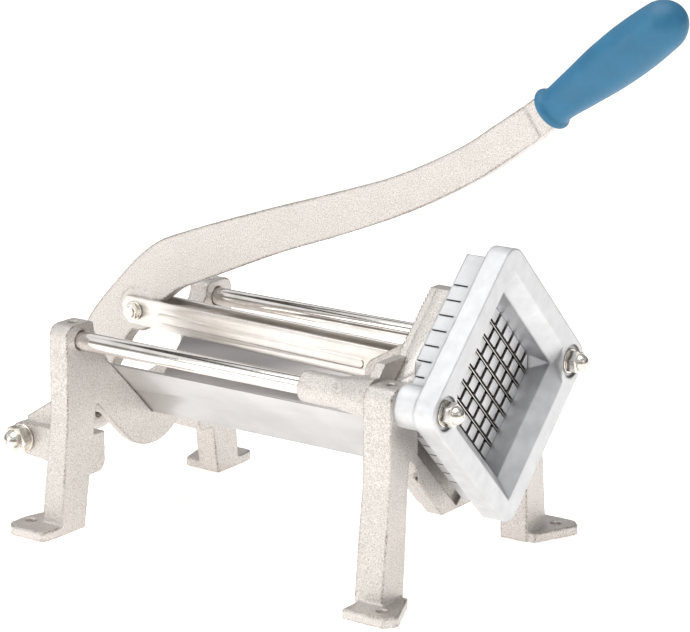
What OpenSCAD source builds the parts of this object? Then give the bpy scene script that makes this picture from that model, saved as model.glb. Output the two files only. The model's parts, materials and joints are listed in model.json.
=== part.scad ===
// Lever-operated french fry cutter.
// X runs from the rear legs to the blades, Y across, Z up.
// The origin lies on the table, midway between the two rear foot bolts.

/* [Frames] */
// Height of the guide rods above the table
rod_height = 133.6; // [128:0.1:165]
// Distance between the centre lines of the guide rods
rod_spacing = 152.4; // [150:0.1:190]
// Front face of the rear legs to front face of the front legs
frame_spacing = 264; // [250:1:330]
// Depth of the rear legs along the rods
rear_leg_depth = 15.5; // [14:0.1:22]
// Depth of the front legs along the rods
front_leg_depth = 21.7; // [16:0.1:28]
// Rod centre to the outer face of a leg
leg_out = 16; // [13:0.1:20]
// How far a leg splays outwards at the foot
leg_splay = 7.8; // [0:0.1:12]
// Height of the web of each frame, measured square to its slope
web_width = 28.6; // [20:0.1:34]
// Thickness of the front web
front_web_depth = 8.7; // [6:0.1:12]
// Thickness of the rear web
rear_web_depth = 7; // [6:0.1:12]
// Thickness of the foot plates
foot_height = 7; // [5:0.1:10]
// Radius of the foot bolt holes
foot_hole_r = 3.4; // [2.5:0.1:4]
// Rear foot bolt line behind the front face of the rear legs
rear_hole_back = 26.6; // [25:0.1:29]
// Front foot bolt line ahead of the front face of the front legs
front_hole_ahead = 4.7; // [3:0.1:7]
// Rod centre out to a rear foot bolt
rear_hole_out = 25.2; // [23:0.1:28]
// Rod centre out to a front foot bolt
front_hole_out = 30.6; // [27:0.1:33]

/* [Rods] */
// Diameter of the guide rods
rod_d = 12.7; // [10:0.1:14]
// Diameter of the threaded stud at the front of each rod
stud_d = 9.5; // [7:0.1:9.8]
// Width across flats of the rod nuts
rod_nut_af = 14.3; // [12:0.1:17]

/* [Trough] */
// Rod axis straight down to the outer fold of the trough
trough_drop = 68.5; // [62:0.1:74]
// Half width of the trough at its upper edges
trough_half = 44; // [36:0.1:46]
// Sheet thickness of the trough
trough_t = 1.5; // [1:0.1:2.5]

/* [Blades] */
// Distance from one blade to the next
blade_pitch = 11.6; // [10:0.1:12]
// Blades in each direction
blade_count = 7; // [3:2:7]
// Thickness of a blade
blade_t = 0.7; // [0.3:0.1:0.9]
// Depth of a blade along the rods
blade_depth = 4.8; // [4:0.1:4.8]
// Half the side of the square cutting opening
opening_half = 44.9; // [44.9:0.1:46]
// Half the side of the holder body
holder_half = 58.7; // [56:0.1:60]
// Half the side of the front flange, corners taken as sharp
flange_half = 68.6; // [66:0.1:72]
// Corner radius of the front flange
flange_r = 14; // [8:0.5:16]

/* [Pusher] */
// Half the side of the pusher head
head_half = 44.6; // [42:0.05:44.6]
// Width of the slots that let the blades into the head
slot_w = 3.2; // [2:0.1:4]
// Length of a sleeve along its rod
sleeve_len = 55; // [40:1:65]
// Radius of a sleeve at its rear end
sleeve_r = 10.5; // [10:0.1:12]
// Radius of a sleeve at its front end
sleeve_front_r = 14; // [12:0.1:15]

/* [Lever and link] */
// Diameter of the shaft that the lever turns on
shaft_d = 12.7; // [10:0.1:14]
// Lever shaft behind the front face of the rear legs
pivot_back = 59; // [56:0.5:66]
// Lever shaft below the guide rods
pivot_drop = 80.6; // [78:0.1:84]
// Width across flats of the shaft nuts
shaft_nut_af = 18; // [16:0.5:20]
// Half thickness of the lever
lever_t = 6; // [5:0.1:6.5]
// Radius of the lever's hub
hub_r = 12.5; // [11:0.1:15]
// Diameter of the link bolt
link_bolt_d = 7.9; // [6:0.1:9]
// Thickness of the link's side walls
link_t = 2.4; // [1.5:0.1:3]
// Length of the grip
grip_len = 116; // [110:1:150]
// Largest radius of the grip
grip_r = 17.2; // [16:0.1:21]

/* [Fits] */
// Radial clearance of a running fit
run_gap = 0.06; // [0.02:0.01:0.1]
// Gap between faces that pass each other
face_gap = 0.3; // [0.2:0.05:0.5]

/* [Hidden] */
$fn = 64;

// Stations along X
rear_x = rear_hole_back;
front_x = rear_x + frame_spacing;
rod_y = rod_spacing / 2;
rod_r = rod_d / 2;

// Lever linkage, all in the XZ plane
pivot = [rear_x - pivot_back, rod_height - pivot_drop];
link_pin = pivot + [51, 86.5];
pusher_pin_x = front_x - 52;
pusher_pin_at = [pusher_pin_x, rod_height];
link_vec = pusher_pin_at - link_pin;
link_len = norm(link_vec);
link_angle = atan2(link_vec[1], link_vec[0]);

// Casting details
boss_top = 12;        // top of a rod boss above the rod
boss_corner = 8;      // corner radius at the top of a leg
boss_in = 13.2;       // rod centre to the inner face of a boss
v_in = 48;            // half width where the rear web meets the boss
v_in_front = 61;      // the same on the front web, which lets the head through
foot_in = 0.3;        // inner edge of a leg at the table, inside of the rod centre
web_r = 42;           // radius under the web
leg_taper = 2;        // extra depth of a rear leg at the foot
pad_rise = 4;         // height of the raised band on the front web
bore_ring_r = rod_r + 1.1;
bore_ring_depth = 1.2;
cast_gap = 0.05;      // radial room of a fixed rod in its boss
v_top = rod_height - trough_drop;

// Rear arms
arm_in = rod_y - 23.2;
arm_out = rod_y - 4.2;
arm_r = 11.3;
arm_bush_r = shaft_d / 2 + 2;
arm_front_low = pivot[1] - 17;

// Holder stations, measured from the front face of the front legs
body_back = -4.5;
body_front = 16;
opening_front = 22;
rim_front = 31;
pad_front = 29;
pad_wall = 64.5;
lobe_r = 14;
funnel_half = 54.5;
slit_w = blade_t + 0.4;
blade_gap = 0.1;
blade_seat = 1.7;     // rear blades ahead of the holder's back
corner_cut = 5;       // cut across each corner of the opening and of the head
corner_gap = 0.4;
corner_front = 9;     // the cut is full up to here, then runs out at the mouth
spigot_y = rod_y - 17;
blade_len = 2 * holder_half - 3;
blade_len_rear = 2 * opening_half + 6.4;

// Pusher stations, measured the same way
head_back = -29.5;
head_plate = -23.5;
head_front = 7.5;
head_root = -6;
sleeve_front = -front_leg_depth - face_gap;
sleeve_back = sleeve_front - sleeve_len;
wing_half = 21;
bush_r = rod_r + 2.2;
bush_len = 14;
cheek_t = 6.5;
cheek_r = 12;
pin_r = 4.75;
clevis_head_r = 8;
clevis_head_h = 5;
head_screw_r = 2.5;
head_screw_len = 11;
head_screw_sink = 3;
notch_pitch = 3.05;   // teeth along the two upper back edges of the plate
notch_side = 1.5;
notch_count = 12;     // to each side of the middle one

// Link sizes
link_gap = lever_t + 1.1;
link_out = link_gap + link_t;
link_rise = 9.8;
link_rise_front = 11.3;
bead_z = -1.5;
bead_r = 3.3;
bead_rise = 0.9;
link_washer_t = 1;
link_bolt_head_r = 6.3;
link_bolt_head_h = 4.5;
cheek_in = link_out + 0.6;
cheek_out = cheek_in + cheek_t;

function arc(cx, cy, r, a0, a1, n = 12) =
  [for (i = [0:n]) let (a = a0 + (a1 - a0) * i / n) [cx + r * cos(a), cy + r * sin(a)]];
function mirrored(half) = [for (i = [len(half) - 2:-1:1]) [-half[i][0], half[i][1]]];
function smooth(a, b, c, d, t) =
  0.5 * (2 * b + (c - a) * t + (2 * a - 5 * b + 4 * c - d) * t * t
    + (3 * b - a - 3 * c + d) * t * t * t);

// Extrude a YZ outline along X, or an XZ outline along Y
module along_x(x0, x1) translate([x0, 0, 0]) rotate([90, 0, 90]) linear_extrude(x1 - x0) children();
module along_y(y0, y1) translate([0, y1, 0]) rotate([90, 0, 0]) linear_extrude(y1 - y0) children();
// Cylinder along X or Y between two stations
module rod_x(x0, x1, r, y = 0, z = rod_height, r2 = undef)
  translate([x0, y, z]) rotate([0, 90, 0]) cylinder(h = x1 - x0, r1 = r, r2 = is_undef(r2) ? r : r2);
module rod_y_at(y0, y1, r, at)
  translate([at[0], y0, at[1]]) rotate([-90, 0, 0]) cylinder(h = y1 - y0, r = r);
// Place something in the frame of the diamond, square to the blades
module diamond() translate([0, 0, rod_height]) rotate([45, 0, 0]) children();
module square_bar(x0, x1, half)
  diamond() translate([x0, -half, -half]) cube([x1 - x0, 2 * half, 2 * half]);
module both_sides() {
  children();
  mirror([0, 1, 0]) children();
}

// One frame seen along the rods: two splayed legs, two bosses and a V web
module frame_outline(leg_in_top, window_top, web_end) {
  top = rod_height + boss_top;
  out = rod_y + leg_out;
  low = rod_height - trough_drop - web_width * sqrt(2);
  half = concat(
    [[0, v_top], [web_end, v_top + web_end], [rod_y - boss_in, rod_height + 4.4]],
    arc(rod_y - boss_in + 5, top - 5, 5, 160, 90, 5),
    arc(out - boss_corner, top - boss_corner, boss_corner, 90, 0, 8),
    [[out, rod_height - 50], [out + leg_splay, foot_height + 4], [out + leg_splay, 0],
     [rod_y - foot_in, 0], [leg_in_top, window_top],
     [leg_in_top, low + leg_in_top]],
    arc(0, low + web_r * sqrt(2), web_r, -45, -90, 10)
  );
  polygon(concat(half, mirrored(half)));
}

module rod_bores(x0, x1) {
  both_sides() {
    rod_x(x0 - 1, x1 + 1, rod_r + cast_gap, y = rod_y);
    rod_x(x1 - bore_ring_depth, x1 + 1, bore_ring_r, y = rod_y);
    rod_x(x0 - 1, x0 + bore_ring_depth, bore_ring_r, y = rod_y);
  }
}

module set_screw_holes(x) both_sides()
  translate([x, rod_y, rod_height]) cylinder(h = boss_top + 1, r = 3.1);

// Rear frame ------------------------------------------------------------
module rear_foot() {
  out = rod_y + leg_out + leg_splay + 19;
  outline = concat(
    [[rear_x, rod_y], [rear_x, out - 12]],
    arc(rear_x - 5, out - 4, 4, 20, 90, 4),
    arc(rear_x - 26, out - 10, 10, 90, 180, 8),
    [[rear_x - 36, rod_y + 22], [rear_x - 30, rod_y]]
  );
  linear_extrude(foot_height) polygon(outline);
}

module rear_arm() {
  top = pivot[1] + arm_r;
  side = concat(
    [[rear_x, top], [rear_x, arm_front_low]],
    arc(pivot[0], pivot[1], arm_r, 262, 90, 16)
  );
  front_view = concat(
    [[arm_in, top + 1], [arm_in, arm_front_low + 8]],
    arc(arm_in + 8, arm_front_low + 8, 8, 180, 260, 6),
    [[arm_out, arm_front_low - 1], [arm_out, top + 1]]
  );
  intersection() {
    along_y(arm_in, arm_out) polygon(side);
    along_x(pivot[0] - arm_r - 1, rear_x) polygon(front_view);
  }
  // Gusset from the arm up to the back of the leg
  along_y(arm_in + 2, arm_in + 12)
    polygon([[pivot[0], pivot[1] + 10], [pivot[0] - 2, top + 2.5], [pivot[0] + 12.5, top + 12],
             [rear_x - rear_leg_depth, top + 32], [rear_x - 12, top + 32],
             [rear_x - 12, pivot[1] + 10]]);
}

module rear_frame() color("#E1DAD4") {
  side = [[rear_x, 0], [rear_x, rod_height + 20], [rear_x - rear_leg_depth, rod_height + 20],
          [rear_x - rear_leg_depth, rod_height - 40], [rear_x - rear_leg_depth - leg_taper, 20],
          [rear_x - rear_leg_depth - leg_taper, 0]];
  back = rear_x - 30;
  web = rear_x - rear_web_depth;
  wide = rod_y + 60;
  plan = [[rear_x, -wide], [rear_x, wide], [back, wide], [back, arm_in], [web, arm_in - 3],
          [web, 3 - arm_in], [back, -arm_in], [back, -wide]];
  difference() {
    union() {
      intersection() {
        along_x(back, rear_x) frame_outline(rod_y - 14.2, rod_height - 51, v_in);
        along_y(-wide, wide) polygon(side);
        linear_extrude(rod_height + 40) polygon(plan);
      }
      both_sides() {
        rear_foot();
        rear_arm();
      }
    }
    rod_bores(rear_x - rear_leg_depth, rear_x);
    set_screw_holes(rear_x - rear_leg_depth / 2);
    both_sides() {
      rod_y_at(arm_in - 1, arm_out + 1, arm_bush_r, pivot);
      translate([rear_x - rear_hole_back, rod_y + rear_hole_out, -1])
        cylinder(h = foot_height + 2, r = foot_hole_r);
    }
    trough_screw_cuts(rear_x - rear_web_depth / 2);
  }
}

// Front frame -----------------------------------------------------------
module front_foot() {
  out = rod_y + leg_out + leg_splay + 19;
  outline = concat(
    [[front_x - 18, rod_y + 1.8], [front_x + 5, rod_y + 1.8]],
    arc(front_x + 14, rod_y + 34, 5, -25, 60, 5),
    [[front_x + 13, out], [front_x - 18, out]]
  );
  linear_extrude(foot_height) polygon(outline);
}

// Raised band along the lower edge of the front web
module web_pad() {
  low = v_top - web_width * sqrt(2) + 1.2;
  high = v_top - 19.5;
  flat = 17;
  outer = rod_y - 24;
  along_x(front_x - front_leg_depth, front_x - front_leg_depth + front_web_depth + pad_rise)
    polygon([[-1, low + flat], [flat, low + flat], [outer, low + outer],
             [outer, high + outer - 6], [outer - 4, high + outer - 4], [0, high], [-1, high + 1]]);
}

module front_frame() color("#E1DAD4") {
  back = front_x - front_leg_depth;
  web = back + front_web_depth;
  plan = [[back, -rod_y - 60], [front_x, -rod_y - 60], [front_x, -rod_y + 15], [web, -rod_y + 24],
          [web, rod_y - 24], [front_x, rod_y - 15], [front_x, rod_y + 60], [back, rod_y + 60]];
  difference() {
    union() {
      intersection() {
        along_x(back, front_x) frame_outline(rod_y - 5.2, rod_height - 40, v_in_front);
        linear_extrude(rod_height + 40) polygon(plan);
      }
      both_sides() {
        front_foot();
        web_pad();
      }
    }
    rod_bores(back, front_x);
    holder_spigot(face_gap);
    set_screw_holes(front_x - front_leg_depth / 2);
    both_sides() {
      translate([front_x + front_hole_ahead, rod_y + front_hole_out, -1])
        cylinder(h = foot_height + 2, r = foot_hole_r);
      // Blind hole in the raised band
      rod_x(web - 3, web + pad_rise + 1, 1.6, y = rod_y - 28.2, z = v_top + rod_y - 28.2 - 36.4);
    }
    trough_screw_cuts(front_x - front_leg_depth + front_web_depth / 2);
  }
}

// Rods ------------------------------------------------------------------
module guide_rod(y) color("#D9D6D4") {
  back = rear_x - rear_leg_depth + 1;
  front = front_x + 0.5;
  rod_x(back + 1, front - 1, rod_r, y = y);
  rod_x(back, back + 1, rod_r - 1, y = y, r2 = rod_r);
  rod_x(front - 1, front, rod_r, y = y, r2 = rod_r - 1);
  rod_x(front - 0.5, front_x + pad_front + 9.5, stud_d / 2, y = y);
}
module guide_rod_left() guide_rod(rod_y);
module guide_rod_right() guide_rod(-rod_y);

module rod_set_screws() color("#8E8C8A")
  for (x = [rear_x - rear_leg_depth / 2, front_x - front_leg_depth / 2]) both_sides()
    difference() {
      translate([x, rod_y, rod_height + rod_r]) cylinder(h = boss_top - rod_r - 1, r = 3.05);
      translate([x, rod_y, rod_height + boss_top - 3.5]) cylinder(h = 4, r = 1.7, $fn = 6);
    }

// Acorn nut with its axis along +Z, standing on Z = 0
module acorn(af, h, bore_r, bore_depth) {
  dome = af * 0.42;
  difference() {
    union() {
      cylinder(h = h, r = af / sqrt(3), $fn = 6);
      translate([0, 0, h]) sphere(r = dome);
    }
    translate([0, 0, -1]) cylinder(h = bore_depth + 1, r = bore_r);
  }
}

module holder_washers() color("#C9C9C6") both_sides()
  difference() {
    rod_x(front_x + pad_front, front_x + pad_front + 1.6, 8.6, y = rod_y);
    rod_x(front_x + pad_front - 1, front_x + pad_front + 3, stud_d / 2 + 0.3, y = rod_y);
  }

module holder_nuts() color("#CFCFCC") both_sides()
  translate([front_x + pad_front + 1.6, rod_y, rod_height]) rotate([0, 90, 0]) rotate([0, 0, 12])
    acorn(rod_nut_af, 7, stud_d / 2 + cast_gap, 9);

// Trough ----------------------------------------------------------------
module trough() color("#D7D7DC") {
  inner = v_top + trough_t * sqrt(2);
  lip = trough_t / sqrt(2);
  edge = trough_half;
  difference() {
    along_x(rear_x - rear_web_depth + 1, front_x - front_leg_depth + front_web_depth - 1)
      polygon([[0, v_top], [edge, v_top + edge], [edge - lip, v_top + edge + lip], [0, inner],
               [lip - edge, v_top + edge + lip], [-edge, v_top + edge]]);
    trough_screw_cuts(rear_x - rear_web_depth / 2);
    trough_screw_cuts(front_x - front_leg_depth + front_web_depth / 2);
  }
}

screw_r = 2;
screw_y = 19;
// Place something on the inner side of the trough, its Z pointing inwards
module on_trough(x, s) translate([x, s * screw_y, v_top + screw_y]) rotate([s * 45, 0, 0]) children();
module trough_screw_cuts(x) for (s = [-1, 1]) on_trough(x, s)
  translate([0, 0, -10]) cylinder(h = 14, r = screw_r + cast_gap);
module trough_screws() color("#B8B8B6")
  for (x = [rear_x - rear_web_depth / 2, front_x - front_leg_depth + front_web_depth / 2])
    for (s = [-1, 1]) on_trough(x, s) {
      translate([0, 0, -9]) cylinder(h = 9 + trough_t + 0.2, r = screw_r);
      translate([0, 0, trough_t]) cylinder(h = 1.6, r1 = 3.6, r2 = 2.8);
    }

// Blade holder ----------------------------------------------------------
module rounded_square(half, r) {
  k = half - r;
  polygon(concat(arc(k, k, r, 0, 90, 10), arc(-k, k, r, 90, 180, 10),
                 arc(-k, -k, r, 180, 270, 10), arc(k, -k, r, 270, 360, 10)));
}

// Shape whose outline is the same from above and from the side
module crossed(outline) intersection() {
  linear_extrude(400, center = true) polygon(outline);
  rotate([90, 0, 0]) linear_extrude(400, center = true) polygon(outline);
}

// Pyramid-shaped mouth
module funnel() {
  far = rim_front + 1;
  grow = (funnel_half - opening_half) / (rim_front - opening_front);
  a = opening_half;
  b = opening_half + (far - opening_front) * grow;
  crossed([[opening_front, -a], [far, -b], [far, b], [opening_front, a]]);
}

// Square passage for the head, its corners cut back where the blades are
module opening() {
  back = body_back - 1;
  front = opening_front + 0.5;
  a = opening_half * sqrt(2) - corner_cut + corner_gap;
  b = opening_half * sqrt(2) + corner_gap;
  intersection() {
    square_bar(front_x + back, front_x + front, opening_half);
    translate([front_x, 0, rod_height])
      crossed([[back, -a], [corner_front, -a], [front, -b], [front, b], [corner_front, a], [back, a]]);
  }
}

blade_at = [for (i = [0:blade_count - 1]) (i - (blade_count - 1) / 2) * blade_pitch];
split = body_back + blade_seat + blade_depth + 2 * blade_gap;

// Back of the holder, which reaches into the front frame between the rod bosses
module holder_spigot(gap) intersection() {
  square_bar(front_x + body_back - gap, front_x + 1, holder_half + gap);
  translate([front_x + body_back - 1, -spigot_y - gap, 0])
    cube([-body_back + 2, 2 * (spigot_y + gap), 2 * rod_height]);
}

module blade_holder() color("#E6E8EC") {
  difference() {
    union() {
      holder_spigot(0);
      square_bar(front_x + 0.02, front_x + body_front, holder_half);
      both_sides() rod_x(front_x + 0.02, front_x + body_front, lobe_r, y = rod_y);
      diamond() along_x(front_x + body_front, front_x + rim_front)
        rounded_square(flange_half + max(0, (rod_spacing - 152.4) / 2 / sqrt(2)), flange_r);
    }
    opening();
    intersection() {
      diamond() translate([front_x, 0, 0]) funnel();
      translate([front_x, -pad_wall, 0]) cube([rim_front + 5, 2 * pad_wall, 2 * rod_height]);
    }
    both_sides() {
      rod_x(front_x - 1, front_x + rim_front + 1, stud_d / 2 + 0.35, y = rod_y);
      rod_x(front_x - 1, front_x + 1, rod_r + 0.35, y = rod_y);
      rod_x(front_x + pad_front, front_x + rim_front + 1, 11.3, y = rod_y);
    }
    diamond() for (p = blade_at) {
      translate([front_x + body_back - 1, p - slit_w / 2, -holder_half - 1])
        cube([split - body_back + 1 + blade_depth + 2 * blade_gap, slit_w, 2 * holder_half + 2]);
      translate([front_x + body_back - 1, -holder_half - 1, p - slit_w / 2])
        cube([split - body_back + 1, 2 * holder_half + 2, slit_w]);
    }
  }
}

module blades_front() color("#55585C") diamond() for (p = blade_at)
  translate([front_x + split + blade_gap, p - blade_t / 2, -blade_len / 2])
    cube([blade_depth, blade_t, blade_len]);

module blades_rear() color("#55585C") diamond() for (p = blade_at)
  translate([front_x + split - blade_gap - blade_depth, -blade_len_rear / 2, p - blade_t / 2])
    cube([blade_depth, blade_len_rear, blade_t]);

// Pusher ----------------------------------------------------------------
// Length of the pusher's square block, its corners cut across
module head_bar(x0, x1, grow = 0) intersection() {
  cut = head_half * sqrt(2) - corner_cut + grow;
  square_bar(x0, x1, head_half + grow);
  translate([x0, -cut, rod_height - cut]) cube([x1 - x0, 2 * cut, 2 * cut]);
}

// Teeth cut into the back edge of the plate
module notches() diamond() for (i = [-notch_count:notch_count]) {
  translate([front_x + head_back, i * notch_pitch, head_half])
    rotate([0, 45, 0]) cube([2 * notch_side, notch_side, notch_side], center = true);
  translate([front_x + head_back, head_half, i * notch_pitch])
    rotate([0, 0, 45]) cube([notch_side, 2 * notch_side, notch_side], center = true);
}

module wing() {
  along_x(front_x + head_back, front_x + sleeve_front)
    polygon([[20, rod_height - wing_half], [rod_y - 12, rod_height - wing_half],
             [rod_y, rod_height - sleeve_r], [rod_y, rod_height + sleeve_r],
             [rod_y - 10, rod_height + wing_half], [20, rod_height + wing_half]]);
}

module pusher_carriage() color("#DDD5CE") {
  back = front_x + sleeve_back;
  front = front_x + sleeve_front;
  waist = front_x - 50;
  difference() {
    union() {
      head_bar(front_x + head_back, front_x + head_plate);
      both_sides() {
        wing();
        rod_x(back, waist, sleeve_r, y = rod_y);
        rod_x(waist, front, sleeve_r, y = rod_y, r2 = sleeve_front_r);
        // Flat web that braces the sleeve to the plate
        translate([0, 0, rod_height - 3]) linear_extrude(7)
          polygon([[back + 4, rod_y - 8], [front - 4, rod_y - 4], [front_x + head_back + 1, 30],
                   [front_x + head_back + 1, cheek_out - 1], [pusher_pin_x, cheek_out - 1],
                   [pusher_pin_x + 3, rod_y - 36]]);
        // Cheek of the clevis that the link enters from above and behind
        along_y(cheek_in, cheek_out)
          polygon(concat([[front_x + head_back + 1, rod_height + 30],
                          [pusher_pin_x + 7, rod_height + 19]],
                         arc(pusher_pin_x - 8, rod_height - 4, cheek_r, 130, 240, 10),
                         [[front_x + head_back + 1, rod_height - 26]]));
      }
    }
    head_bar(front_x + head_plate, front_x + 10, 0.02);
    notches();
    both_sides() rod_x(back - 1, front + 1, bush_r + 0.02, y = rod_y);
    rod_y_at(-cheek_out - 1, cheek_out + 1, pin_r + 0.03, pusher_pin_at);
    head_screw_places() {
      translate([0, 0, -1]) cylinder(h = 20, r = head_screw_r + cast_gap);
      translate([0, 0, -8]) cylinder(h = 8 + head_screw_sink, r = head_screw_r + 2.4);
    }
    both_sides() rod_y_at(cheek_out, cheek_out + clevis_head_h + 1, clevis_head_r + 1, pusher_pin_at);
  }
}

module pusher_head() color("#DDD5CE") difference() {
  head_bar(front_x + head_plate, front_x + head_front);
  diamond() for (p = blade_at) {
    translate([front_x + head_root, p - slot_w / 2, -head_half - 1])
      cube([head_front - head_root + 1, slot_w, 2 * head_half + 2]);
    translate([front_x + head_root, -head_half - 1, p - slot_w / 2])
      cube([head_front - head_root + 1, 2 * head_half + 2, slot_w]);
  }
  head_screw_places() cylinder(h = head_screw_len + 0.5, r = head_screw_r + cast_gap);
}

// Four screws sunk in the back of the plate, axis +Z along +X, each under the middle of a finger
module head_screw_places() {
  near = 0.5 * blade_pitch;
  far = 2.5 * blade_pitch;
  diamond() for (at = [[far, -near], [-near, far], [near, -far], [-far, near]])
    translate([front_x + head_back, at[0], at[1]]) rotate([0, 90, 0]) children();
}
module head_screws() color("#B8B8B6") head_screw_places() difference() {
  union() {
    cylinder(h = head_screw_len, r = head_screw_r);
    translate([0, 0, 0.2]) cylinder(h = head_screw_sink - 0.2, r = head_screw_r + 2.3);
  }
  translate([0, 0, -1]) cylinder(h = 3.2, r = 2, $fn = 6);
}

module sleeve_bushes() color("#B08D57")
  for (x = [front_x + sleeve_back + 0.5, front_x + sleeve_front - bush_len - 0.5]) both_sides()
    difference() {
      rod_x(x, x + bush_len, bush_r, y = rod_y);
      rod_x(x - 1, x + bush_len + 1, rod_r + run_gap, y = rod_y);
    }

// Pivot bolts of the clevis: the heads stand outside, the ends stop flush inside the cheeks
module clevis_bolts() color("#C9C9C6") both_sides() {
  rod_y_at(cheek_in, cheek_out + 1, pin_r, pusher_pin_at);
  translate([pusher_pin_at[0], cheek_out, pusher_pin_at[1]]) rotate([-90, 0, 0])
    cylinder(h = clevis_head_h, r = clevis_head_r, $fn = 6);
}

// Link ------------------------------------------------------------------
module in_link() translate([link_pin[0], 0, link_pin[1]]) rotate([0, -link_angle, 0]) children();

module link_wall() {
  ear = 11.5;
  outline = concat(
    [[-ear, 3], [-ear + 4, link_rise], [0, link_rise], [link_len, link_rise_front]],
    arc(link_len, 0, link_rise_front, 90, -90, 12),
    [[0, -link_rise], [-5, -link_rise]]
  );
  along_y(link_gap, link_out) polygon(outline);
  // Raised bead along the wall
  along_y(link_out - 0.01, link_out + bead_rise)
    polygon(concat(arc(24, bead_z, bead_r, 90, 270, 8), arc(link_len - 29, bead_z, bead_r, -90, 90, 8)));
}

module link() color("#DAD4CC") in_link() difference() {
  union() {
    both_sides() link_wall();
    translate([48, -link_gap - 0.5, -link_rise]) cube([link_len - 78, 2 * link_gap + 1, link_t]);
  }
  rod_y_at(-link_out - 2, link_out + 2, link_bolt_d / 2 + run_gap, [0, 0]);
  rod_y_at(-link_out - 2, link_out + 2, pin_r + 2.22, [link_len, 0]);
}

// Bush that spans the walls at the front eye of the link
module link_front_bush() color("#B08D57") in_link() difference() {
  rod_y_at(-link_out, link_out, pin_r + 2.2, [link_len, 0]);
  rod_y_at(-link_out - 1, link_out + 1, pin_r + run_gap, [link_len, 0]);
}

// Outer faces of the washers under the bolt's head and nut
link_seat = link_out + face_gap + link_washer_t;
module link_bolt() color("#C9C9C6") {
  rod_y_at(-link_seat - link_bolt_head_h - 1, link_seat + 0.5, link_bolt_d / 2, link_pin);
  translate([link_pin[0], link_seat, link_pin[1]]) rotate([-90, 0, 0])
    cylinder(h = link_bolt_head_h, r = link_bolt_head_r, $fn = 6);
}
module link_bolt_nut() color("#C9C9C6") difference() {
  translate([link_pin[0], -link_seat, link_pin[1]]) rotate([90, 0, 0]) rotate([0, 0, 20])
    cylinder(h = link_bolt_head_h, r = link_bolt_head_r, $fn = 6);
  rod_y_at(-link_out - 10, 0, link_bolt_d / 2 + 0.02, link_pin);
}
module link_washers() color("#C9C9C6") both_sides() difference() {
  rod_y_at(link_out + face_gap, link_seat, link_bolt_head_r + 0.6, link_pin);
  rod_y_at(0, link_out + 10, link_bolt_d / 2 + 0.02, link_pin);
}

// Lever -----------------------------------------------------------------
// Centre line of the lever from its shaft: X, Z and half width
lever_line = [
  [0, 0, hub_r - 1], [5.8, 29.7, 14.7], [16.9, 58.4, 17.1], [33.8, 82.3, 16.8], [70, 116.7, 18],
  [99.5, 131.4, 18], [165.5, 157.7, 15.4], [213.5, 174.9, 14.3], [269.5, 196.7, 12.7],
  [319, 222.2, 11.8], [348, 241.7, 11.8], [368, 256, 11.6]
];
steps_per_span = 7;
grip_angle = 38;
grip_start = [pivot[0] + 376.6, pivot[1] + 263.1];
tang_len = 92;
tang_r = 6.4;
neck_len = 15;
neck_half = 11.3;
neck_t = 5;

function lever_station(i) =
  let (n = len(lever_line) - 1, k = min(floor(i / steps_per_span), n - 1), t = i / steps_per_span - k)
  smooth(lever_line[max(k - 1, 0)], lever_line[k], lever_line[k + 1], lever_line[min(k + 2, n)], t);

module lever_bar() {
  last = (len(lever_line) - 1) * steps_per_span;
  st = [for (i = [0:last]) lever_station(i)];
  // Points beside the centre line, on the side that s gives
  function edge(i, s) =
    let (d = st[min(i + 1, last)] - st[max(i - 1, 0)], k = s * st[i][2] / norm([d[0], d[1]]))
    [pivot[0] + st[i][0] - k * d[1], pivot[1] + st[i][1] + k * d[0]];
  along_y(-lever_t, lever_t)
    polygon(concat([for (i = [0:last]) edge(i, 1)], [for (i = [last:-1:0]) edge(i, -1)]));
}

module lever() color("#E1DAD4") difference() {
  union() {
    lever_bar();
    rod_y_at(-10, 10, hub_r, pivot);
    rod_y_at(-lever_t - 0.8, lever_t + 0.8, 15.5, link_pin);
    translate([grip_start[0], 0, grip_start[1]]) rotate([0, 90 - grip_angle, 0]) {
      translate([-neck_half, -neck_t, -neck_len]) cube([2 * neck_half, 2 * neck_t, neck_len - 0.05]);
      translate([0, 0, -1]) cylinder(h = tang_len + 1, r = tang_r);
    }
  }
  rod_y_at(-12, 12, shaft_d / 2 + 0.02, pivot);
  rod_y_at(-12, 12, link_bolt_d / 2 + 0.02, link_pin);
  hub_screw_place() cylinder(h = hub_r + 6, r = 4);
}

// Set screw in the front of the hub, axis +Z outwards
module hub_screw_place() translate([pivot[0], -3, pivot[1]]) rotate([0, 66, 0]) children();
module lever_set_screw() color("#6E7070") hub_screw_place() difference() {
  translate([0, 0, shaft_d / 2]) cylinder(h = hub_r - shaft_d / 2 - 0.8, r = 3.9);
  translate([0, 0, hub_r - 3.5]) cylinder(h = 5, r = 2.2, $fn = 6);
}

module grip() color("#4682A5")
  translate([grip_start[0], 0, grip_start[1]]) rotate([0, 90 - grip_angle, 0])
    rotate_extrude() polygon(concat(
      [[tang_r + 0.06, 0], [12.2, 0]],
      arc(11.3, 3.2, 3.2, -60, 70, 6),
      [for (i = [0:14]) let (u = 10 + (grip_len - 28) * i / 14) [grip_profile(u), u]],
      [for (a = [12:12:84]) [grip_profile(grip_len - 18) * cos(a), grip_len - 18 + 18 * sin(a)]],
      [[0, grip_len], [0, tang_len + 0.5], [tang_r + 0.06, tang_len + 0.5]]));
function grip_profile(u) =
  let (t = (u - 10) / (grip_len - 28)) 12 + (grip_r - 12) * pow(sin(t * 125), 1.25);

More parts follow.
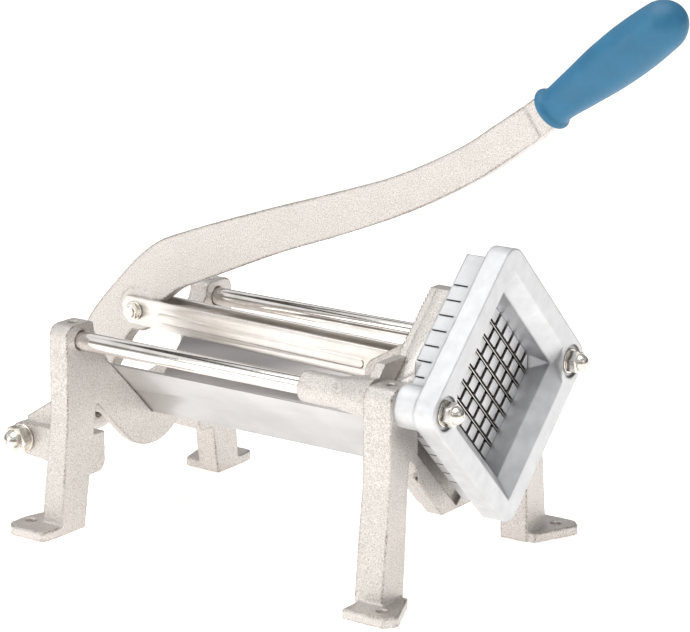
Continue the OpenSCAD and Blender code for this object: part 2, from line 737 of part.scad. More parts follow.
// Shaft -----------------------------------------------------------------
module arm_bushes() color("#B08D57") both_sides() difference() {
  rod_y_at(arm_in, arm_out, arm_bush_r - 0.02, pivot);
  rod_y_at(arm_in - 1, arm_out + 1, shaft_d / 2 + run_gap, pivot);
}
shaft_half = arm_out + face_gap + 9;
module lever_shaft() color("#C4C2BE") rod_y_at(-shaft_half, shaft_half, shaft_d / 2, pivot);
module shaft_washers() color("#B8B8B6") both_sides() difference() {
  rod_y_at(arm_out + face_gap, arm_out + face_gap + 1.5, 10.6, pivot);
  rod_y_at(0, arm_out + 9, shaft_d / 2 + 0.02, pivot);
}
module shaft_nuts() color("#B9B7B2") both_sides()
  translate([pivot[0], arm_out + face_gap + 1.5, pivot[1]]) rotate([-90, 0, 0])
    acorn(shaft_nut_af, 7.5, shaft_d / 2 + 0.02, 8);

rear_frame();
front_frame();
guide_rod_left();
guide_rod_right();
rod_set_screws();
trough();
trough_screws();
blade_holder();
blades_front();
blades_rear();
holder_washers();
holder_nuts();
arm_bushes();
lever();
lever_set_screw();
lever_shaft();
shaft_washers();
shaft_nuts();
grip();
link();
link_bolt();
link_bolt_nut();
link_washers();
link_front_bush();
pusher_carriage();
pusher_head();
clevis_bolts();
head_screws();
sleeve_bushes();
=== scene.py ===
"""Looks of a lever-operated french fry cutter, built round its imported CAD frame.

Run as a script it dresses every part of the cutter, sets up a plain pale studio and
leaves the result in the frame of the CAD model, in metres. X runs along the guide rods
towards the blades, Y across and Z up.
"""

import json
import math
from typing import NamedTuple

import bmesh
import bpy
import numpy as np
from mathutils import Matrix, Vector
from mathutils import noise as perlin

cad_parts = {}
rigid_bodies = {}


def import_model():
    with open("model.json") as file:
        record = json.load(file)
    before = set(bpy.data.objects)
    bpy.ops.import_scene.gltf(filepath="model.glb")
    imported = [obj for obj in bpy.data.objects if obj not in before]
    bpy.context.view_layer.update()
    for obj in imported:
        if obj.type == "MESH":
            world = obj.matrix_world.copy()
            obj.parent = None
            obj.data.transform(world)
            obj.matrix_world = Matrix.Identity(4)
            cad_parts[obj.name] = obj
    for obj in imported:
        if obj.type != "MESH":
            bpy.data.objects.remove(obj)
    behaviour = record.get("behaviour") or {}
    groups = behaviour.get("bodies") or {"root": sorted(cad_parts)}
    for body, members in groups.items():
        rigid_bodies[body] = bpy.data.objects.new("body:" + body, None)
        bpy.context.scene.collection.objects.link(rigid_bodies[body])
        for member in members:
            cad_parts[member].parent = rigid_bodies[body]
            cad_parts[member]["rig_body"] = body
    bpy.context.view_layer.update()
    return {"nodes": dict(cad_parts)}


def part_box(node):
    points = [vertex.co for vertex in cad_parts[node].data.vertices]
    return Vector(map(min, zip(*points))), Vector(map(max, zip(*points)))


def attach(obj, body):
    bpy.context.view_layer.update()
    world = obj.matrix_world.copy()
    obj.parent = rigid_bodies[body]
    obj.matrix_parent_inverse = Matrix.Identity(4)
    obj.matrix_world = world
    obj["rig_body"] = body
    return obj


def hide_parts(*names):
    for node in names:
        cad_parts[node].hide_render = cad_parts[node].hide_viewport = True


bl_info = {
    "name": "French Fry Cutter",
    "version": (1, 0, 0),
    "blender": (4, 5, 0),
    "location": "View3D > Sidebar > Fry Cutter",
    "description": "Finishes the castings, steelwork and grip of a french fry cutter",
    "category": "Object",
}

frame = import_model()
MM = 0.001


# Colours and small helpers ---------------------------------------------------


def linear(code):
    """An sRGB hex colour as linear RGB."""
    parts = [int(code[i : i + 2], 16) / 255 for i in (1, 3, 5)]
    return tuple(c / 12.92 if c <= 0.04045 else ((c + 0.055) / 1.055) ** 2.4 for c in parts)


def rgba(colour):
    """A colour with full alpha, as shader sockets want it."""
    return (*colour[:3], 1.0)


def per_mm(size):
    """Texture scale that gives features of this many millimetres."""
    return 1 / (size * MM)


def add(tree, kind, inputs=None, **settings):
    """One shader node with its settings; an input is a value or another node's output."""
    node = tree.nodes.new(kind)
    for key, value in settings.items():
        setattr(node, key, value)
    for key, value in (inputs or {}).items():
        if isinstance(value, bpy.types.NodeSocket):
            tree.links.new(value, node.inputs[key])
        else:
            node.inputs[key].default_value = value
    return node


# Materials -------------------------------------------------------------------


# Tones that the finishes share: painted shade down a slot, brown of bare iron at worn edges
# (also painted shade in recesses of the castings), painted shade on trough faces that look up
PAINTED_SLOT_SHADE = linear("#55504A")
WORN_IRON_AND_SHADE_BROWN = linear("#6F5A48")
UPWARD_FACE_SHADE = linear("#B3AFAE")
PROBE_SAMPLES = 6  # rays that the probe of a corner or a hollow casts


class Pattern(NamedTuple):
    """A noise: the size of its features in millimetres, its detail and its roughness.

    draw is its scale along each axis, and less than 1 stretches the features that way.
    """

    size: float
    detail: float = 2.0
    rough: float = 0.5
    draw: tuple = (1, 1, 1)


def painted_hollow_shade(tree, coords, colour, hollow_shade_tone, reach, start, stop):
    """Painted shade: the colour darkened where the same piece stands round it within this many
    millimetres.
    """
    probe = add(tree, "ShaderNodeAmbientOcclusion", {"Distance": reach * MM},
                samples=PROBE_SAMPLES, only_local=True)
    limits = {"Value": probe.outputs["AO"], "From Min": start, "From Max": stop}
    openness = add(tree, "ShaderNodeMapRange", limits)
    mix = {0: openness.outputs[0], 6: rgba(hollow_shade_tone), 7: colour}
    return add(tree, "ShaderNodeMix", mix, data_type="RGBA").outputs[2]


def worn_arrises(tree, coords, colour, under):
    """Specks of the metal underneath along the outer edges, where tumbling has thinned the plate.

    Each layer is what drives it and the range that it fades in over: the edge itself, specks
    just over a millimetre wide, and stretches of edge some 22 mm long that were rubbed more.
    """
    bend = add(tree, "ShaderNodeNewGeometry").outputs["Pointiness"]
    layers = [(bend, 0.508, 0.535, 0.0, 1.0)]
    for size, *fade in ((1.1, 0.46, 0.6, 0.15, 0.9), (22, 0.4, 0.6, 0.35, 0.95)):
        scale = {"Vector": coords.outputs["Object"], "Scale": per_mm(size)}
        layers.append((add(tree, "ShaderNodeTexNoise", scale).outputs["Fac"], *fade))
    worn = 1.0
    for value, start, stop, low, high in layers:
        limits = {"Value": value, "From Min": start, "From Max": stop,
                  "To Min": low, "To Max": high}
        layer = add(tree, "ShaderNodeMapRange", limits).outputs[0]
        worn = add(tree, "ShaderNodeMath", {0: worn, 1: layer}, operation="MULTIPLY").outputs[0]
    mix = {0: worn, 6: colour, 7: rgba(under)}
    return add(tree, "ShaderNodeMix", mix, data_type="RGBA").outputs[2]


def painted_upward_shade(tree, coords, colour, upward_shade_tone):
    """Painted shade: the colour darkened towards a given tone on every face that looks up."""
    faces = add(tree, "ShaderNodeSeparateXYZ", {"Vector": coords.outputs["Normal"]})
    limits = {"Value": faces.outputs["Z"], "From Min": -0.3, "From Max": 0.3}
    amount = add(tree, "ShaderNodeMapRange", limits).outputs[0]
    mix = {0: amount, 6: colour, 7: rgba(upward_shade_tone)}
    return add(tree, "ShaderNodeMix", mix, data_type="RGBA").outputs[2]


def finish(name, own, patterns=None, tones=None, shine=None, relief=(), corner=0, colour_steps=()):
    """A whole material, from the real sizes of the patterns in its surface.

    own holds the shader's even numbers. tones gives the value behind the colour, a pattern's
    name or an axis that the surface faces, then the two colours and where they start and end.
    shine gives the pattern behind the roughness and its two ends. relief gives a pattern and a
    depth in millimetres for each bump, coarse ones first. corner is the radius in millimetres
    that worn corners seem to have. wear holds the steps that change the colour, painted shade
    and worn edges among them: each one is a function, which takes the tree, the coordinates
    and the colour, and then its own settings.
    """
    mat = bpy.data.materials.new(name)
    mat.use_nodes = True
    tree = mat.node_tree
    tree.nodes.clear()
    shader = add(tree, "ShaderNodeBsdfPrincipled", own)
    add(tree, "ShaderNodeOutputMaterial", {"Surface": shader.outputs[0]})
    coords = add(tree, "ShaderNodeTexCoord")
    values = {}
    for key, pattern in (patterns or {}).items():
        drawn = {"Vector": coords.outputs["Object"], "Scale": pattern.draw}
        noise = {"Vector": add(tree, "ShaderNodeMapping", drawn).outputs[0],
                 "Scale": per_mm(pattern.size), "Detail": pattern.detail,
                 "Roughness": pattern.rough}
        values[key] = add(tree, "ShaderNodeTexNoise", noise).outputs["Fac"]
    if tones:
        key, dark, light, start, stop = tones
        if key in "XYZ":
            faces = add(tree, "ShaderNodeSeparateXYZ", {"Vector": coords.outputs["Normal"]})
            values[key] = faces.outputs[key]
        ramp = add(tree, "ShaderNodeValToRGB", {"Fac": values[key]})
        ends = ((start, dark), (stop, light))
        for element, (place, tone) in zip(ramp.color_ramp.elements, ends):
            element.position = place
            element.color = rgba(tone)
        colour = ramp.outputs[0]
        for step, *settings in colour_steps:
            colour = step(tree, coords, colour, *settings)
        tree.links.new(colour, shader.inputs["Base Color"])
    if shine:
        key, low, high = shine
        limits = {"Value": values[key], "From Min": 0.35, "From Max": 0.65,
                  "To Min": low, "To Max": high}
        roughness = add(tree, "ShaderNodeMapRange", limits)
        tree.links.new(roughness.outputs[0], shader.inputs["Roughness"])
    normal = {}
    if corner:
        rounded = add(tree, "ShaderNodeBevel", {"Radius": corner * MM}, samples=PROBE_SAMPLES)
        normal["Normal"] = rounded.outputs[0]
    for key, depth in relief:
        height = {"Height": values[key], "Distance": depth * MM, "Strength": 1.0, **normal}
        normal["Normal"] = add(tree, "ShaderNodeBump", height).outputs[0]
    if normal:
        tree.links.new(normal["Normal"], shader.inputs["Normal"])
    return mat


def nickel_cast_iron(name, props, *colour_steps):
    """Sand-cast iron, tumbling-finished and nickel plated: a warm bright metal whose pebbled skin
    sparkles.

    The dull layer left in its pits makes it look less than fully metallic.
    """
    # Sand of 0.3 mm would be lost at this image size, so it is drawn near three times as wide
    return finish(
        name,
        {"Metallic": 0.82},
        {"pebble": Pattern(0.85), "fine": Pattern(0.3825, rough=0.6), "patch": Pattern(26)},
        tones=("pebble", tuple(props.nickel_shade), tuple(props.nickel), 0.34, 0.6),
        shine=("patch", 0.3, 0.4),
        relief=(("pebble", 0.4), ("fine", 0.09)),
        colour_steps=colour_steps,
    )


def hard_chrome(props):
    """Ground bar with hard chrome: mirror bright, with faint grinding rings round the bar."""
    # Real grinding rings are about 0.05 mm apart and are drawn ten times as wide to show
    return finish(
        "Hard_chrome_ground_bar",
        {"Metallic": 1.0},
        {"rings": Pattern(0.5, 3.0, 0.7, (1, 0.02, 0.02)), "haze": Pattern(14)},
        tones=("haze", linear("#E4DFDA"), tuple(props.chrome), 0.35, 0.65),
        shine=("rings", 0.07, 0.14),
        relief=(("rings", 0.004),),
    )


def rolled_stainless(name, tint, shade, low, high, line, *colour_steps):
    """Cold-rolled stainless sheet: long fine rolling lines blur reflections along the sheet."""
    # The line width is some ten times the real one, so that the lines show
    return finish(
        name,
        {"Metallic": 1.0},
        {"lines": Pattern(line, 3.0, 0.65, (0.02, 1, 1)), "cloud": Pattern(30)},
        tones=("cloud", shade, tint, 0.35, 0.65),
        shine=("lines", low, high),
        relief=(("lines", 0.006),),
        colour_steps=colour_steps,
    )


def cast_aluminium(name, props, corner, hollow_shade_tone, reach):
    """Die-cast aluminium, vibratory finished: pale, matte, edges worn round, painted shade in
    recesses.
    """
    return finish(
        name,
        {"Metallic": 1.0},
        {"cloud": Pattern(12, 3.0), "dents": Pattern(1.2)},
        tones=("cloud", linear("#DADBDD"), tuple(props.aluminium), 0.35, 0.65),
        shine=("cloud", 0.5, 0.6),
        relief=(("dents", 0.04),),
        corner=corner,
        colour_steps=((painted_hollow_shade, hollow_shade_tone, reach, 0.3, 0.95),),
    )


def blade_steel(props):
    """Hardened strip steel, its flanks darker in part as painted shade between the fingers.

    The faces that look forward, along +X, take a painted highlight.
    """
    # The wheel's real lines are under 0.1 mm apart and are drawn at 0.6 mm to show
    return finish(
        "Hardened_strip_steel_ground",
        {"Metallic": 1.0},
        {"lines": Pattern(0.6, 3.0, draw=(0.1, 1, 1))},
        # Faces that look along +X are painted light as a highlight; the rest darker, in part
        # painted shade
        tones=("X", linear("#5A5855"), tuple(props.blade), 0.3, 0.7),
        shine=("lines", 0.25, 0.4),
        relief=(("lines", 0.003),),
    )


def turned_steel(name, tint, shade, low, high):
    """Turned steel, plated or oiled: quick highlights on a slightly orange-peeled surface."""
    return finish(
        name,
        {"Metallic": 1.0},
        {"peel": Pattern(0.9), "cloud": Pattern(4)},
        tones=("cloud", linear(shade), linear(tint), 0.35, 0.65),
        shine=("cloud", low, high),
        relief=(("peel", 0.03),),
    )


def sintered_bronze(props):
    """Oil-filled sintered bronze: a dull brown-gold with open pores."""
    # Real pores are near 0.1 mm and are drawn five times as wide to show
    return finish(
        "Sintered_bronze_sized",
        {"Metallic": 1.0, "Roughness": 0.48},
        {"pores": Pattern(0.5)},
        tones=("pores", linear("#7C5F38"), tuple(props.bronze), 0.35, 0.65),
        relief=(("pores", 0.03),),
    )


def dipped_vinyl(props):
    """Dip-moulded vinyl: an even satin skin, slightly wavy from the dip and finely speckled."""
    thin = tuple(c * 0.84 for c in props.vinyl)
    return finish(
        "Soft_vinyl_dip_moulded",
        {"IOR": 1.54},
        {"wave": Pattern(16), "speckle": Pattern(0.8)},
        tones=("wave", thin, tuple(props.vinyl), 0.3, 0.7),
        shine=("wave", 0.4, 0.5),
        relief=(("wave", 0.5), ("speckle", 0.035)),
    )


def pale_board(props):
    """Studio board with a matte coat, lit from below: an even white ground with faint shadows."""
    glow = rgba(linear("#FFFBF7"))
    own = {"Base Color": rgba(tuple(props.floor)), "Roughness": 0.9,
           "Emission Color": glow, "Emission Strength": 0.6}
    return finish("Backlit_acrylic_board_matte", own)


MATERIALS = {}


def make_materials(props):
    """Every finish of the cutter, made once and kept by a short name."""
    if MATERIALS:
        return
    sheet, strip = tuple(props.stainless), tuple(props.link_steel)
    # Castings: brown painted shade where the piece stands round itself, brown bare iron on worn
    # edges
    hollow_shade_and_worn_edges = ((painted_hollow_shade, WORN_IRON_AND_SHADE_BROWN, 7, 0.05, 0.5), (worn_arrises, WORN_IRON_AND_SHADE_BROWN))
    MATERIALS.update(
        frame=nickel_cast_iron("Nickel_plated_sand_cast_frame", props, *hollow_shade_and_worn_edges),
        lever=nickel_cast_iron("Nickel_plated_sand_cast_lever", props, *hollow_shade_and_worn_edges),
        pusher=nickel_cast_iron("Nickel_plated_sand_cast_pusher", props, *hollow_shade_and_worn_edges),
        chrome=hard_chrome(props),
        # The trough takes painted shade on its faces that look up, its inner side
        trough=rolled_stainless(
            "Stainless_sheet_satin_rolled", sheet, linear("#D0CFCF"), 0.34, 0.42, 0.5,
            (painted_upward_shade, UPWARD_FACE_SHADE),
        ),
        link=rolled_stainless(
            "Stainless_strip_bright_rolled", strip, linear("#E6E1DB"), 0.27, 0.37, 0.6
        ),
        # Painted shade: the holder darkens in its funnel, the milled finger ends towards the slots
        holder=cast_aluminium("Cast_aluminium_vibratory", props, 2.4, linear("#737276"), 34),
        faced=cast_aluminium("Cast_aluminium_milled_ends", props, 0.6, PAINTED_SLOT_SHADE, 2.6),
        # Painted shade: the fingers darken down the slots between them
        fingers=nickel_cast_iron(
            "Nickel_plated_sand_cast_fingers", props, (painted_hollow_shade, PAINTED_SLOT_SHADE, 6, 0.6, 0.97)
        ),
        blade=blade_steel(props),
        zinc=turned_steel("Bright_zinc_plated_steel", "#F0EDE8", "#DDD7CD", 0.18, 0.3),
        shaft=turned_steel("Ground_steel_shaft", "#CFCBC5", "#AFA99F", 0.2, 0.32),
        screw=turned_steel("Black_oxide_worn_screw", "#ADA9A2", "#7E7A74", 0.3, 0.45),
        bronze=sintered_bronze(props),
        vinyl=dipped_vinyl(props),
    )


# Mesh tools ------------------------------------------------------------------


EDGE_ANGLE = math.radians(35)  # an edge sharper than this is broken on steelwork
CORNER_ANGLE = math.radians(50)  # and sharper than this on the fingers
SHARP_DEGREES = 40  # shading stays sharp past this


def smooth_by_angle(mesh, degrees):
    """Smooth shading that keeps edges sharper than this angle."""
    mesh.polygons.foreach_set("use_smooth", [True] * len(mesh.polygons))
    mesh.set_sharp_from_angle(angle=math.radians(degrees))


def place_piece(name, mesh, node, material):
    """Puts a mesh in the scene as the visible piece of a CAD node, riding on that node's body."""
    piece = bpy.data.objects.new(name, mesh)
    bpy.context.scene.collection.objects.link(piece)
    mesh.materials.clear()
    mesh.materials.append(MATERIALS[material])
    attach(piece, frame["nodes"][node]["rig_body"])
    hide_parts(node)
    return piece


def clean_copy(node):
    """A bmesh of a CAD node with its triangles joined back into flat faces."""
    bm = bmesh.new()
    bm.from_mesh(frame["nodes"][node].data)
    same_place, flat = MM / 1000, math.radians(0.5)
    bmesh.ops.remove_doubles(bm, verts=bm.verts, dist=same_place)
    bmesh.ops.dissolve_limit(
        bm, angle_limit=flat, verts=bm.verts, edges=bm.edges, delimit=set()
    )
    return bm


def applied(mesh, *modifiers):
    """The mesh after a stack of modifiers, each a (type, settings) pair."""
    temp = bpy.data.objects.new("temp", mesh)
    bpy.context.scene.collection.objects.link(temp)
    for kind, settings in modifiers:
        modifier = temp.modifiers.new(kind, kind)
        for key, value in settings.items():
            setattr(modifier, key, value)
    evaluated = temp.evaluated_get(bpy.context.evaluated_depsgraph_get())
    result = bpy.data.meshes.new_from_object(evaluated)
    bpy.data.objects.remove(temp)
    bpy.data.meshes.remove(mesh)
    return result


def broken_edges(bm, name, width, segments, angle):
    """The bmesh as a mesh whose edges sharper than the angle are rounded, width in millimetres."""
    mesh = bpy.data.meshes.new(name)
    bm.to_mesh(mesh)
    bm.free()
    settings = dict(width=width * MM, segments=segments, limit_method="ANGLE",
                    angle_limit=angle, use_clamp_overlap=True)
    mesh = applied(mesh, ("BEVEL", settings))
    mesh.name = name
    smooth_by_angle(mesh, SHARP_DEGREES)
    return mesh


def eased(node, name, material, width, segments=2):
    """A machined or folded piece: the CAD shape with its edges broken by a small round."""
    mesh = broken_edges(clean_copy(node), name, width, segments, EDGE_ANGLE)
    return place_piece(name, mesh, node, material)


def cast_mesh(node, name, voxel, rounds, keep=1.0):
    """The CAD shape as a casting: remeshed, then rounded off as the mould leaves it.

    The voxel is in millimetres, and keep is the share of the faces that stays.
    """
    stack = [
        ("REMESH", dict(mode="VOXEL", voxel_size=voxel * MM)),
        ("SMOOTH", dict(factor=0.5, iterations=rounds)),
    ]
    if keep < 1:
        stack.append(("DECIMATE", dict(ratio=keep)))
    mesh = applied(frame["nodes"][node].data.copy(), *stack)
    mesh.name = name
    return mesh


def finger_mesh(node, name, radius):
    """The block of fingers, its outer edges along the stroke rounded to a radius in millimetres."""
    shortest, straight, turn = 5 * MM, 0.99, math.radians(40)
    bm = clean_copy(node)
    picked = []
    for edge in bm.edges:
        a, b = (v.co for v in edge.verts)
        along = abs(a.x - b.x)
        if along > shortest and along > straight * (a - b).length and edge.is_convex:
            if edge.calc_face_angle(0) > turn:
                picked.append(edge)
    bmesh.ops.bevel(bm, geom=picked, offset=radius * MM, segments=3, affect="EDGES",
                    profile=0.5, clamp_overlap=True)
    return broken_edges(bm, name, width=0.35, segments=2, angle=CORNER_ANGLE)


def pebble(mesh, size, height, box):
    """Raises and sinks the skin of a casting by its sand grain, never past the CAD box."""
    count = len(mesh.vertices)
    co = np.empty(count * 3, np.float32)
    no = np.empty(count * 3, np.float32)
    mesh.vertices.foreach_get("co", co)
    mesh.vertices.foreach_get("normal", no)
    co, no = co.reshape(-1, 3), no.reshape(-1, 3)
    scale = per_mm(size)
    lift = np.array([perlin.noise(Vector(p) * scale) for p in co.tolist()])
    co += no * (lift[:, None] * height * MM)
    co = np.clip(co, np.array(box[0]), np.array(box[1]))
    mesh.vertices.foreach_set("co", co.astype(np.float32).ravel())
    mesh.update()
    mesh.polygons.foreach_set("use_smooth", [True] * len(mesh.polygons))


# Sizes and colours that a user would change ------------------------------------


class FryCutterFinish(bpy.types.PropertyGroup):
    """Colours of the cutter's finishes."""

    nickel: bpy.props.FloatVectorProperty(
        name="Nickel", description="Plated casting, bright tone", subtype="COLOR",
        size=3, min=0, max=1, default=linear("#E3DFDC"))
    nickel_shade: bpy.props.FloatVectorProperty(
        name="Nickel shade", description="Plated casting in its pits", subtype="COLOR",
        size=3, min=0, max=1, default=linear("#C0B9B2"))
    chrome: bpy.props.FloatVectorProperty(
        name="Chrome", description="Guide rods", subtype="COLOR",
        size=3, min=0, max=1, default=linear("#F6F3F0"))
    stainless: bpy.props.FloatVectorProperty(
        name="Stainless", description="Trough sheet", subtype="COLOR",
        size=3, min=0, max=1, default=linear("#D8D7D8"))
    link_steel: bpy.props.FloatVectorProperty(
        name="Link steel", description="Bright strip of the link", subtype="COLOR",
        size=3, min=0, max=1, default=linear("#F6F3F0"))
    aluminium: bpy.props.FloatVectorProperty(
        name="Aluminium", description="Blade holder casting", subtype="COLOR",
        size=3, min=0, max=1, default=linear("#E9EAEC"))
    # The blade colour is the painted highlight on faces that look along +X
    blade: bpy.props.FloatVectorProperty(
        name="Blade", description="Polished tone of the blades", subtype="COLOR",
        size=3, min=0, max=1, default=linear("#E2DED6"))
    bronze: bpy.props.FloatVectorProperty(
        name="Bronze", description="Bushes", subtype="COLOR",
        size=3, min=0, max=1, default=linear("#B08D57"))
    vinyl: bpy.props.FloatVectorProperty(
        name="Vinyl", description="Grip", subtype="COLOR",
        size=3, min=0, max=1, default=linear("#27749B"))
    floor: bpy.props.FloatVectorProperty(
        name="Floor", description="Studio floor", subtype="COLOR",
        size=3, min=0, max=1, default=linear("#FAFAF9"))


class FryCutterSizes(bpy.types.PropertyGroup):
    """Sizes that shape the finish, and the stage round the cutter."""

    cast_voxel: bpy.props.FloatProperty(
        name="Casting detail", description="Grid of the remeshed frames in millimetres",
        default=0.8, min=0.5, max=3)
    cast_grain: bpy.props.FloatProperty(
        name="Skin swell", description="Size of the swells in the skin in millimetres",
        default=4.5, min=0.5, max=12)
    cast_relief: bpy.props.FloatProperty(
        name="Skin relief", description="Height of the swells in millimetres",
        default=0.16, min=0, max=0.6)
    camera_place: bpy.props.FloatVectorProperty(
        name="Camera place", description="Where the camera stands", subtype="TRANSLATION",
        unit="LENGTH", size=3, default=(1.2559, -1.5341, 0.6486))
    camera_turn: bpy.props.FloatVectorProperty(
        name="Camera turn", description="Azimuth, elevation and roll of the view",
        subtype="EULER", unit="ROTATION", size=3,
        default=(math.radians(34.769), math.radians(14.653), math.radians(0.449)))
    camera_lens: bpy.props.FloatProperty(
        name="Lens", description="Focal length in millimetres on a 36 mm sensor",
        unit="CAMERA", default=151.18, min=20, max=400)
    floor_half: bpy.props.FloatProperty(
        name="Floor", description="Half the width of the floor", unit="LENGTH",
        default=12.0, min=1, max=40)


# Operators ---------------------------------------------------------------------


class FRYCUTTER_OT_frames(bpy.types.Operator):
    """Dress the two leg frames as pebbled nickel-plated castings"""

    bl_idname = "fry_cutter.frames"
    bl_label = "Frames"

    def execute(self, context):
        make_materials(context.scene.fry_cutter_finish)
        sizes = context.scene.fry_cutter_sizes
        for node in ("rear_frame", "front_frame"):
            mesh = cast_mesh(node, node + "_casting", sizes.cast_voxel, rounds=6, keep=0.6)
            pebble(mesh, sizes.cast_grain, sizes.cast_relief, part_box(node))
            place_piece(node + "_casting", mesh, node, "frame")
        return {"FINISHED"}


class FRYCUTTER_OT_lever(bpy.types.Operator):
    """Dress the lever as a casting with worn-off corners"""

    bl_idname = "fry_cutter.lever"
    bl_label = "Lever"

    def execute(self, context):
        make_materials(context.scene.fry_cutter_finish)
        sizes = context.scene.fry_cutter_sizes
        mesh = cast_mesh("lever", "lever_casting", voxel=0.7, rounds=14, keep=0.7)
        finer = 0.9 * sizes.cast_grain
        pebble(mesh, finer, sizes.cast_relief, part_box("lever"))
        place_piece("lever_casting", mesh, "lever", "lever")
        return {"FINISHED"}


class FRYCUTTER_OT_grip(bpy.types.Operator):
    """Dress the grip as a dipped vinyl sleeve"""

    bl_idname = "fry_cutter.grip"
    bl_label = "Grip"

    def execute(self, context):
        make_materials(context.scene.fry_cutter_finish)
        mesh = cast_mesh("grip", "grip_sleeve", voxel=0.8, rounds=6)
        pebble(mesh, size=14, height=0.25, box=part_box("grip"))
        place_piece("grip_sleeve", mesh, "grip", "vinyl")
        return {"FINISHED"}


class FRYCUTTER_OT_pusher(bpy.types.Operator):
    """Dress the pusher's carriage and its block of fingers"""

    bl_idname = "fry_cutter.pusher"
    bl_label = "Pusher"

    def execute(self, context):
        make_materials(context.scene.fry_cutter_finish)
        sizes = context.scene.fry_cutter_sizes
        name = "pusher_carriage_casting"
        mesh = cast_mesh("pusher_carriage", name, voxel=0.5, rounds=1, keep=0.45)
        pebble(mesh, sizes.cast_grain, sizes.cast_relief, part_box("pusher_carriage"))
        place_piece(name, mesh, "pusher_carriage", "pusher")
        mesh = finger_mesh("pusher_head", "pusher_fingers", radius=2.4)
        place_piece("pusher_fingers", mesh, "pusher_head", "fingers")
        mesh.materials.append(MATERIALS["faced"])
        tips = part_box("pusher_head")[1][0] - MM
        for face in mesh.polygons:
            face.material_index = int(face.normal.x > 0.5 and face.center.x > tips)
        return {"FINISHED"}


class FRYCUTTER_OT_holder(bpy.types.Operator):
    """Dress the blade holder and its two rows of blades"""

    bl_idname = "fry_cutter.holder"
    bl_label = "Blade holder"

    def execute(self, context):
        make_materials(context.scene.fry_cutter_finish)
        mesh = frame["nodes"]["blade_holder"].data.copy()
        mesh.name = "blade_holder_casting"
        smooth_by_angle(mesh, degrees=35)
        place_piece("blade_holder_casting", mesh, "blade_holder", "holder")
        for row in ("front", "rear"):
            eased("blades_" + row, "blade_row_" + row, "blade", width=0.12, segments=1)
        return {"FINISHED"}


class FRYCUTTER_OT_steelwork(bpy.types.Operator):
    """Dress the rods, trough, link, shaft and bushes"""

    bl_idname = "fry_cutter.steelwork"
    bl_label = "Steelwork"

    def execute(self, context):
        make_materials(context.scene.fry_cutter_finish)
        for side in ("left", "right"):
            eased("guide_rod_" + side, "chrome_rod_" + side, "chrome", width=0.3)
        eased("trough", "trough_sheet", "trough", width=0.25)
        eased("link", "link_channel", "link", width=0.5, segments=3)
        eased("lever_shaft", "lever_shaft_bar", "shaft", width=0.6)
        for node in ("arm_bushes", "link_front_bush", "sleeve_bushes"):
            eased(node, node + "_sintered", "bronze", width=0.25)
        return {"FINISHED"}


class FRYCUTTER_OT_fasteners(bpy.types.Operator):
    """Dress the nuts, washers, bolts and screws"""

    bl_idname = "fry_cutter.fasteners"
    bl_label = "Fasteners"

    def execute(self, context):
        make_materials(context.scene.fry_cutter_finish)
        zinc = ("holder_nuts", "holder_washers", "shaft_nuts", "shaft_washers", "link_bolt",
                "link_bolt_nut", "link_washers", "clevis_bolts")
        for node in zinc:
            eased(node, node + "_plated", "zinc", width=0.6, segments=3)
        for node in ("rod_set_screws", "trough_screws", "lever_set_screw", "head_screws"):
            eased(node, node + "_steel", "screw", width=0.3)
        return {"FINISHED"}


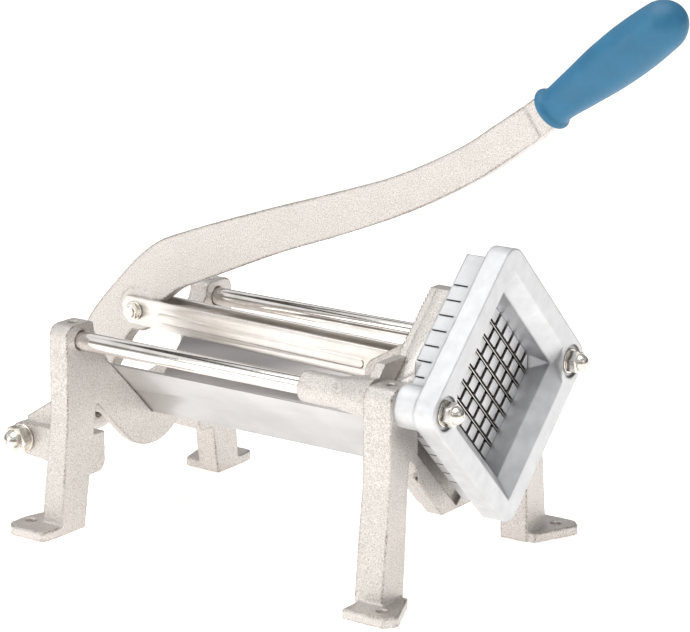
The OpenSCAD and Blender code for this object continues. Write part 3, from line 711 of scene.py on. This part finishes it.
class FRYCUTTER_OT_stage(bpy.types.Operator):
    """Set up the floor, the soft light and the camera"""

    bl_idname = "fry_cutter.stage"
    bl_label = "Stage"

    def execute(self, context):
        sizes = context.scene.fry_cutter_sizes
        self.floor(sizes, context.scene.fry_cutter_finish)
        self.lights()
        self.surroundings()
        self.camera(sizes)
        context.scene.view_settings.view_transform = "Standard"
        return {"FINISHED"}

    def floor(self, sizes, colours):
        """A wide pale floor under the feet."""
        mesh = bpy.data.meshes.new("floor")
        bm = bmesh.new()
        bmesh.ops.create_grid(bm, x_segments=1, y_segments=1, size=sizes.floor_half)
        bm.to_mesh(mesh)
        bm.free()
        floor = bpy.data.objects.new("floor", mesh)
        bpy.context.scene.collection.objects.link(floor)
        mesh.materials.append(pale_board(colours))

    def lights(self):
        """Large soft boxes: overhead, from the left and a weak one from the right."""
        aim = Vector((0.15, 0.0, 0.12))  # the middle of the cutter
        boxes = {
            "overhead_box": ((0.1, -0.2, 1.7), 1.6, 12),
            "left_box": ((-0.7, -1.7, 0.9), 1.0, 7),
            "right_box": ((1.9, -0.3, 0.9), 1.0, 2),
        }
        for name, (place, size, watts) in boxes.items():
            data = bpy.data.lights.new(name, "AREA")
            data.size = size
            data.energy = watts
            lamp = bpy.data.objects.new(name, data)
            lamp.location = place
            lamp.rotation_euler = (aim - Vector(place)).to_track_quat("-Z", "Y").to_euler()
            bpy.context.scene.collection.objects.link(lamp)

    def surroundings(self):
        """A white room with two dark bands, which give bright metal its streaks.

        It is dimmer to one side, and looks plain white behind the cutter.
        """
        world = bpy.data.worlds.new("studio")
        world.use_nodes = True
        tree = world.node_tree
        tree.nodes.clear()
        way = add(tree, "ShaderNodeTexCoord").outputs["Generated"]
        height = add(tree, "ShaderNodeSeparateXYZ", {"Vector": way}).outputs["Z"]
        limits = {"Value": height, "From Min": -1.0, "From Max": 1.0}
        upward = add(tree, "ShaderNodeMapRange", limits)
        ramp = add(tree, "ShaderNodeValToRGB", {"Fac": upward.outputs[0]})
        stops = (
            (0.0, "#F5F3F0"), (0.5, "#F2F0EE"),  # floor and walls
            (0.6, "#86827E"), (0.67, "#8E8A86"),  # dim band above the horizon
            (0.73, "#F4F4F4"), (0.845, "#F4F4F4"),  # bright upper walls
            (0.86, "#3E3A36"), (0.89, "#4C4742"),  # dark gap beside the overhead box
            (0.91, "#F4F4F4"),
        )
        elements = ramp.color_ramp.elements
        while len(elements) < len(stops):
            elements.new(0.5)
        for element, (place, code) in zip(elements, stops):
            element.position = place
            element.color = rgba(linear(code))
        dim_side = {0: way, 1: (0.82, 0.57, 0.0)}
        aside = add(tree, "ShaderNodeVectorMath", dim_side, operation="DOT_PRODUCT")
        dimming = {"Value": aside.outputs["Value"], "From Min": -0.3, "From Max": 0.6,
                   "To Min": 0.95, "To Max": 0.55}
        strength = add(tree, "ShaderNodeMapRange", dimming).outputs[0]
        lit = add(tree, "ShaderNodeBackground", {"Color": ramp.outputs[0], "Strength": strength})
        white = rgba(linear("#FFFFFF"))
        seen = add(tree, "ShaderNodeBackground", {"Color": white, "Strength": 1.0})
        direct = add(tree, "ShaderNodeLightPath").outputs["Is Camera Ray"]
        blend = {0: direct, 1: lit.outputs[0], 2: seen.outputs[0]}
        room = add(tree, "ShaderNodeMixShader", blend)
        add(tree, "ShaderNodeOutputWorld", {"Surface": room.outputs[0]})
        bpy.context.scene.world = world

    def camera(self, sizes):
        """The camera, from its azimuth, elevation and roll."""
        azimuth, elevation, roll = sizes.camera_turn
        data = bpy.data.cameras.new("camera")
        data.sensor_width = 36
        data.lens = sizes.camera_lens
        data.clip_end = 60
        camera = bpy.data.objects.new("camera", data)
        ahead = Vector((-math.sin(azimuth) * math.cos(elevation),
                        math.cos(azimuth) * math.cos(elevation), -math.sin(elevation)))
        right = Vector((math.cos(azimuth), math.sin(azimuth), 0))
        up = right.cross(ahead)
        side = right * math.cos(roll) + up * math.sin(roll)
        top = up * math.cos(roll) - right * math.sin(roll)
        turn = Matrix((side, top, -ahead)).transposed().to_4x4()
        camera.matrix_world = Matrix.Translation(Vector(sizes.camera_place)) @ turn
        bpy.context.scene.collection.objects.link(camera)
        bpy.context.scene.camera = camera


class FRYCUTTER_PT_panel(bpy.types.Panel):
    """Lists the steps that build the cutter"""

    bl_label = "French Fry Cutter"
    bl_idname = "FRYCUTTER_PT_panel"
    bl_space_type = "VIEW_3D"
    bl_region_type = "UI"
    bl_category = "Fry Cutter"

    def draw(self, context):
        for step in STEPS:
            self.layout.operator(step.bl_idname)
        for group in (context.scene.fry_cutter_finish, context.scene.fry_cutter_sizes):
            for name in group.__annotations__:
                self.layout.prop(group, name)


STEPS = (
    FRYCUTTER_OT_stage,
    FRYCUTTER_OT_frames,
    FRYCUTTER_OT_lever,
    FRYCUTTER_OT_grip,
    FRYCUTTER_OT_pusher,
    FRYCUTTER_OT_holder,
    FRYCUTTER_OT_steelwork,
    FRYCUTTER_OT_fasteners,
)
CLASSES = (FryCutterFinish, FryCutterSizes, *STEPS, FRYCUTTER_PT_panel)


def register():
    """Register the classes and hang the settings on the scene."""
    for cls in CLASSES:
        bpy.utils.register_class(cls)
    bpy.types.Scene.fry_cutter_finish = bpy.props.PointerProperty(type=FryCutterFinish)
    bpy.types.Scene.fry_cutter_sizes = bpy.props.PointerProperty(type=FryCutterSizes)


def unregister():
    """Take the settings and classes away again."""
    del bpy.types.Scene.fry_cutter_sizes
    del bpy.types.Scene.fry_cutter_finish
    for cls in reversed(CLASSES):
        bpy.utils.unregister_class(cls)


def main():
    """Build everything in order."""
    register()
    for step in STEPS:
        group, name = step.bl_idname.split(".")
        getattr(getattr(bpy.ops, group), name)()


if __name__ == "__main__":
    main()
